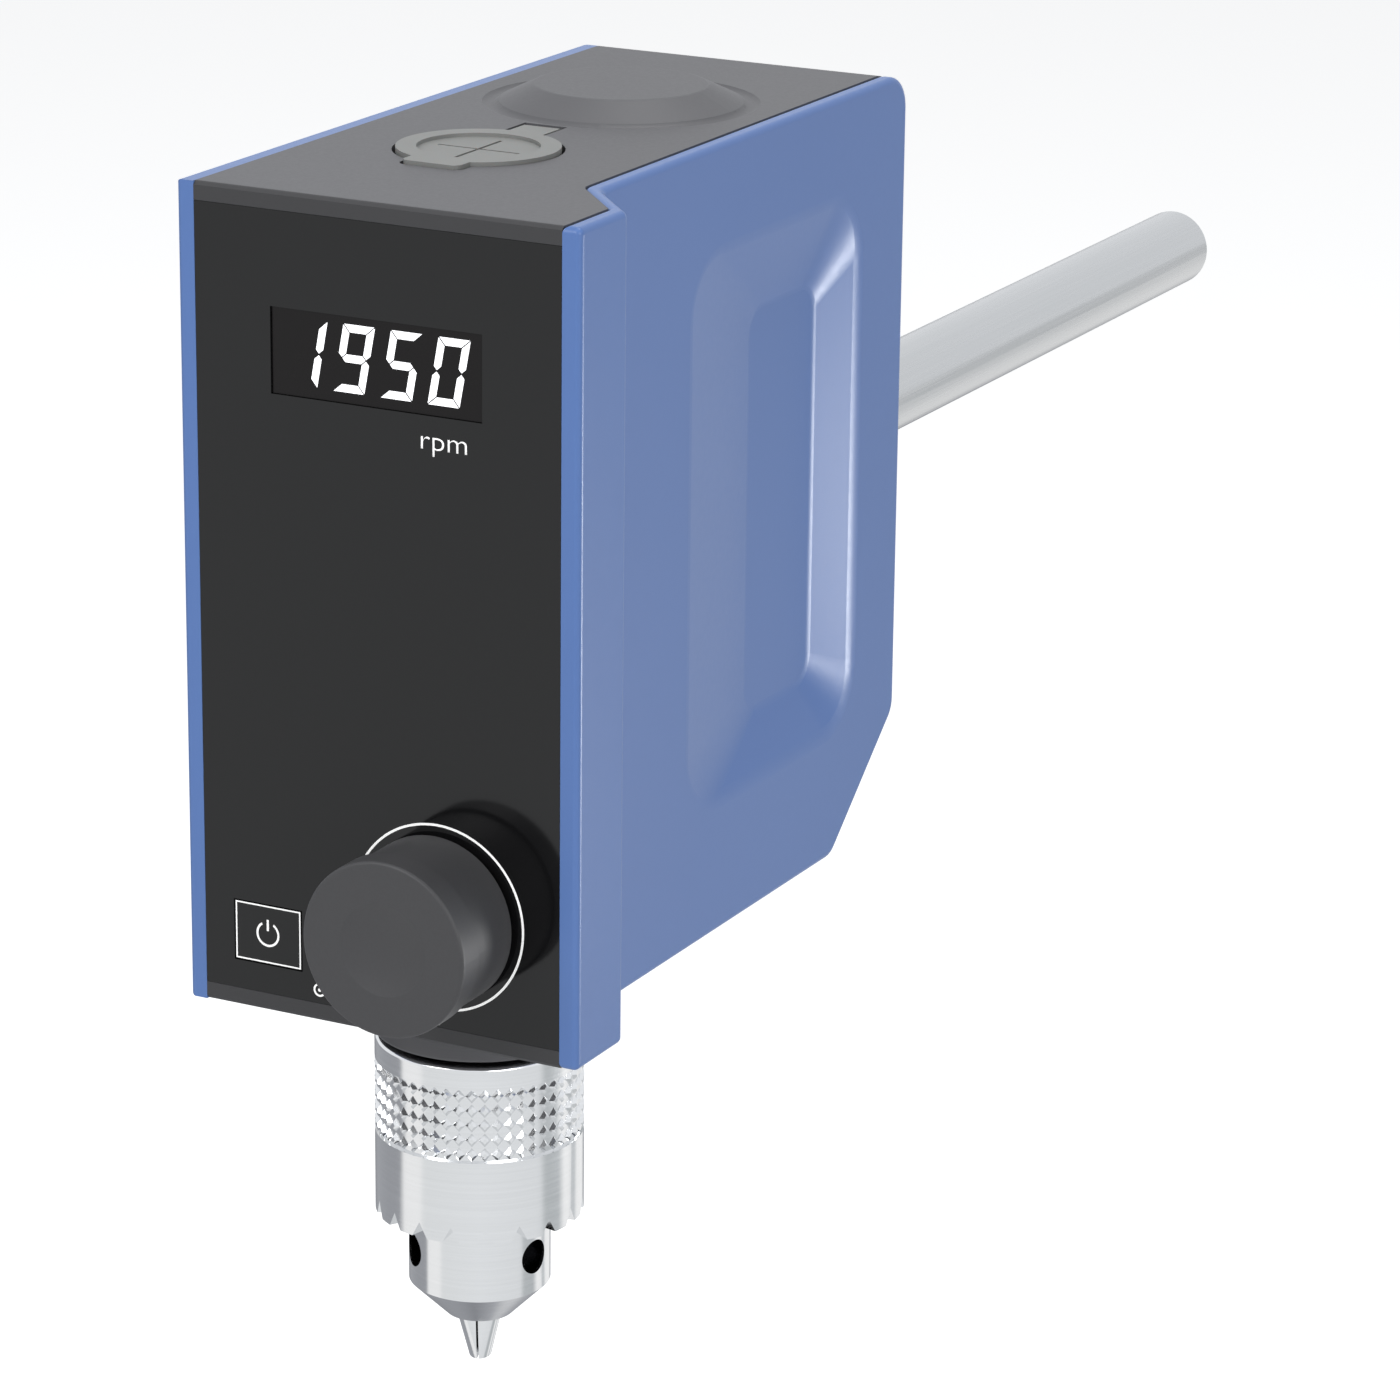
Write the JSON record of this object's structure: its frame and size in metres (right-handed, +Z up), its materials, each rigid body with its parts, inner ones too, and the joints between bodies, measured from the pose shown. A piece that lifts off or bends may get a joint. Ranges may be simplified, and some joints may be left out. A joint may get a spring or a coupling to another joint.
{
  "type": "overhead stirrer",
  "caption": "Laboratory overhead stirrer: box housing with digital panel and speed knob, belt-driven hollow spindle, key chuck with jaws, and a horizontal mounting arm.",
  "frame": {"origin": "on the spindle axis, level with the underside of the housing", "axes": "+Z up along the spindle axis, +Y from the panel towards the back, along the extension arm, +X to the right seen from the front"},
  "size_m": [0.06, 0.2995, 0.1783],
  "materials": {
    "shell_blue": "satin paint on cast aluminium",
    "core_grey": "fine matte moulded plastic",
    "panel_black": "gloss black film on plastic",
    "window_dark": "smoked gloss window",
    "knob_grey": "soft matte moulded plastic",
    "key_black": "gloss black",
    "display_black": "moulded display block",
    "board_green": "solder-masked board",
    "chuck_steel": "polished turned steel",
    "arm_steel": "drawn stainless rod",
    "plain_steel": "ground steel",
    "screw_steel": "zinc-plated screws",
    "cast_aluminium": "machined aluminium",
    "motor_black": "black motor can",
    "bush_bronze": "sintered bronze",
    "soft_black": "soft black rubber",
    "belt_rubber": "rubber belt",
    "cap_grey": "soft moulded cap",
    "inlet_black": "moulded socket"
  },
  "bodies": {
    "housing": {"core_housing": "core_grey", "spindle_boss": "core_grey", "left_side_shell": "shell_blue", "right_side_shell": "shell_blue", "shell_screws": "screw_steel", "front_panel": "panel_black", "display_window": "window_dark", "digit_display": "display_black", "circuit_board": "board_green", "board_screws": "screw_steel", "encoder_body": "plain_steel", "power_switch": "inlet_black", "drive_chassis": "cast_aluminium", "chassis_screws": "screw_steel", "lower_bearing_outer_ring": "plain_steel", "upper_bearing_outer_ring": "plain_steel", "spindle_seal": "soft_black", "top_bush": "bush_bronze", "drive_belt": "belt_rubber", "motor_can": "motor_black", "motor_screws": "screw_steel", "arm_socket": "cast_aluminium", "arm_grub_screw": "screw_steel", "extension_arm": "arm_steel", "power_inlet": "inlet_black"},
    "spindle": {"hollow_spindle": "plain_steel", "lower_bearing_inner_ring": "plain_steel", "upper_bearing_inner_ring": "plain_steel", "retaining_ring": "screw_steel", "driven_pulley": "cast_aluminium", "chuck_body": "chuck_steel"},
    "bearing_balls": {"lower_bearing_balls": "plain_steel", "upper_bearing_balls": "plain_steel"},
    "motor_rotor": {"motor_shaft": "plain_steel", "motor_pulley": "cast_aluminium"},
    "chuck_ring": {"chuck_sleeve": "chuck_steel", "jaw_nut": "plain_steel"},
    "jaw_a": {"jaw_1": "plain_steel"},
    "jaw_b": {"jaw_2": "plain_steel"},
    "jaw_c": {"jaw_3": "plain_steel"},
    "encoder_push": {"encoder_push_plate": "plain_steel"},
    "knob": {"encoder_shaft": "plain_steel", "speed_knob": "knob_grey", "knob_cap": "knob_grey"},
    "key": {"power_key": "key_black"},
    "cap": {"shaft_cap": "cap_grey"}
  },
  "joints": [
    {"name": "spindle_turn", "type": "hinge", "parent": "housing", "child": "spindle", "pos_m": [0, 0, 0], "axis": [0, 0, 1], "continuous": true},
    {"name": "balls_roll", "type": "hinge", "parent": "housing", "child": "bearing_balls", "pos_m": [0, 0, 0], "axis": [0, 0, 1], "continuous": true},
    {"name": "motor_turn", "type": "hinge", "parent": "housing", "child": "motor_rotor", "pos_m": [0.00095, 0.0387, 0], "axis": [0, 0, 1], "continuous": true},
    {"name": "chuck_ring_turn", "type": "hinge", "parent": "spindle", "child": "chuck_ring", "pos_m": [0, 0, -0.037], "axis": [0, 0, -1], "range_deg": [0, 2880]},
    {"name": "jaw_1_slide", "type": "slide", "parent": "spindle", "child": "jaw_a", "axis": [0.2549, -0.0449, 0.9659], "range_m": [0, 0.01585]},
    {"name": "jaw_2_slide", "type": "slide", "parent": "spindle", "child": "jaw_b", "axis": [-0.0885, 0.2432, 0.9659], "range_m": [0, 0.01585]},
    {"name": "jaw_3_slide", "type": "slide", "parent": "spindle", "child": "jaw_c", "axis": [-0.1664, -0.1983, 0.9659], "range_m": [0, 0.01585]},
    {"name": "knob_press", "type": "slide", "parent": "housing", "child": "encoder_push", "axis": [0, 1, 0], "range_m": [0, 0.0005], "stiffness_N_per_m": 3000, "springref_m": -0.001},
    {"name": "knob_turn", "type": "hinge", "parent": "encoder_push", "child": "knob", "pos_m": [0.01435, -0.0364, 0.018], "axis": [0, -1, 0], "continuous": true},
    {"name": "power_key_press", "type": "slide", "parent": "housing", "child": "key", "axis": [0, 1, 0], "range_m": [0, 0.0003], "stiffness_N_per_m": 3000, "springref_m": -0.001},
    {"name": "cap_hinge", "type": "hinge", "parent": "housing", "child": "cap", "pos_m": [0, 0.01755, 0.1125], "axis": [-1, 0, 0], "range_deg": [0, 105]}
  ],
  "couplings": [
    {"joint": "balls_roll", "follows": "spindle_turn", "ratio": 0.40278},
    {"joint": "motor_turn", "follows": "spindle_turn", "ratio": 1.5},
    {"joint": "jaw_1_slide", "follows": "chuck_ring_turn", "m_per_rad": 0.00031512},
    {"joint": "jaw_2_slide", "follows": "chuck_ring_turn", "m_per_rad": 0.00031512},
    {"joint": "jaw_3_slide", "follows": "chuck_ring_turn", "m_per_rad": 0.00031512}
  ]
}
